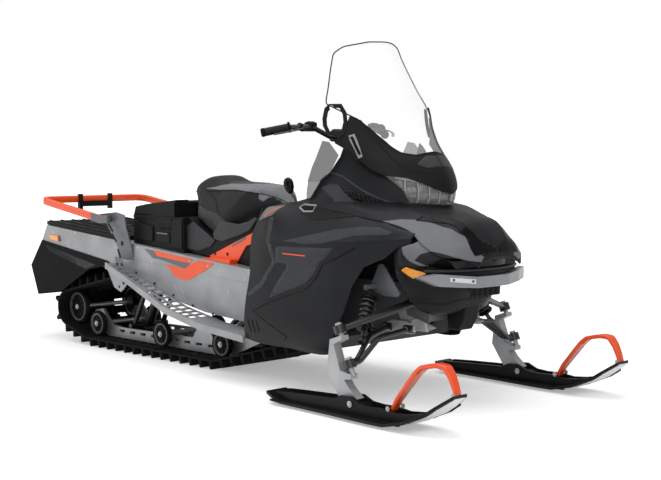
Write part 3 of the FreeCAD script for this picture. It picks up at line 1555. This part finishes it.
def ski():
    """Moulded ski with a keel and two walls that rise beside the saddle."""
    line = ski_line()
    low_y = ski_offset - ski_half_width
    blade = side_prism(strip_below(line, -ski_thickness), low_y, low_y + 2 * ski_half_width)
    edge = lay(ski_plan_share, ski_rear_x, ski_length, 0, ski_half_width)
    ring = [(x, ski_offset + y) for x, y in edge] + [(x, ski_offset - y) for x, y in edge[::-1]]
    blade = blade.common(plan_prism(ring, -overrun, 2 * ski_height))
    parts = [blade]
    top = lay(ski_wall_share, ski_rear_x, ski_length, 0, ski_height)
    wall = top + [(x, ski_height_at(x) + ski_thickness / 2) for x, z in top[::-1]]
    for side in (-1, 1):
        y = ski_offset + side * (saddle_width / 2 + ski_rib_width / 2)
        parts.append(side_prism(wall, y - ski_rib_width / 2, y + ski_rib_width / 2))
    keel = strip_below(line[1:4], keel_height)
    low_y = ski_offset - keel_width / 2
    parts.append(side_prism(keel, low_y, low_y + keel_width))
    half = saddle_width / 2
    foot_z = spindle_low_z - saddle_height
    saddle = lay(saddle_side_share, kingpin_foot_x, saddle_length, foot_z, saddle_height)
    parts.append(side_prism(saddle, ski_offset - half, ski_offset + half))
    return join(parts)


def ski_loop():
    """Flat handle strap bent up over the ski's tip, bolted between the walls and at the tip."""
    outer = lay(loop_outer_share, ski_rear_x, ski_length, 0, ski_height)
    inner = lay(loop_inner_share, ski_rear_x, ski_length, 0, ski_height)
    half = loop_width / 2
    strap = side_prism(outer + inner[::-1], ski_offset - half, ski_offset + half)
    parts = [strap]
    reach = saddle_width / 2 - seat_gap
    for x, z in lay(loop_mount_share, ski_rear_x, ski_length, 0, ski_height):
        parts.append(rod((x, ski_offset - reach, z), (x, ski_offset + reach, z), loop_bolt_radius))
    return join(parts).cut(ski())


# Handlebar

def handlebar():
    """Steering post with a bent bar and two grips."""
    half = [
        (post_top_x, bar_low_y, bar_low_z),
        (bar_bend_x, bar_bend_y, bar_bend_z),
        (grip_inner_x, grip_inner_y, grip_inner_z),
        (grip_end_x, grip_end_y, grip_end_z),
    ]
    route = [(x, -y, z) for x, y, z in half[::-1]] + half
    bar = bent_tube(route, bar_tube_radius, bar_bend_radius)
    grips = []
    for side in (-1, 1):
        a = (grip_inner_x, side * grip_inner_y, grip_inner_z)
        b = (grip_end_x, side * grip_end_y, grip_end_z)
        grips.append(rod(a, b, grip_radius))
    head = post_point(post_top_z + bar_tube_radius)
    post = rod((post_foot_x, 0, post_foot_z), (head.x, 0, head.z), post_radius)
    clamp = box(
        (post_top_x - 2 * post_radius, -2 * post_radius, post_top_z),
        (post_top_x + 2 * post_radius, 2 * post_radius, bar_low_z + 2 * bar_tube_radius),
    )
    return [join([bar, post, clamp] + grips)]


def build():
    os.makedirs("parts", exist_ok=True)
    save("track", track())
    save("road_wheels", road_wheels())
    save("upper_wheels", upper_wheels())
    save("skid_rails", skid_rails())
    save("skid_arms", skid_arms())
    save("tunnel", tunnel())
    board = join([running_board(), board_end()])
    save("running_board_left", [board])
    save("running_board_right", [mirrored(board)])
    save("rear_deck", rear_deck())
    save("rack_rail", rack_rail())
    save("rack_bracket_left", [rack_bracket()])
    save("rack_bracket_right", [mirrored(rack_bracket())])
    save("tail_lamp", tail_lamp())
    save("hitch", hitch())
    save("snow_flap", snow_flap())
    save("storage_bin", storage_bin())
    save("storage_lid", storage_lid())
    save("seat", seat())
    save("seat_base", seat_base())
    save("seat_plates", both_sides(seat_plate()))
    panel = side_panel()
    save("side_panel_left", [panel])
    save("side_panel_right", [mirrored(panel)])
    save("hood", hood())
    save("nose_pan", nose_pan())
    save("belly_pan", belly_pan())
    save("console", console())
    save("windshield", windshield())
    save("windshield_base", windshield_base())
    save("headlamp", headlamp())
    save("hoops", both_sides(hoop()))
    save("fairing", fairing())
    save("wind_deflectors", both_sides(deflector()))
    save("bumper", bumper())
    save("front_frame", front_frame())
    save("engine", engine())
    save("control_arms_left", control_arms())
    save("control_arms_right", [mirrored(arm) for arm in control_arms()])
    save("shock_left", [shock()])
    save("shock_right", [mirrored(shock())])
    save("spindle_left", [spindle()])
    save("spindle_right", [mirrored(spindle())])
    save("ski_left", [ski()])
    save("ski_right", [mirrored(ski())])
    save("ski_loop_left", [ski_loop()])
    save("ski_loop_right", [mirrored(ski_loop())])
    save("handlebar", handlebar())


build()
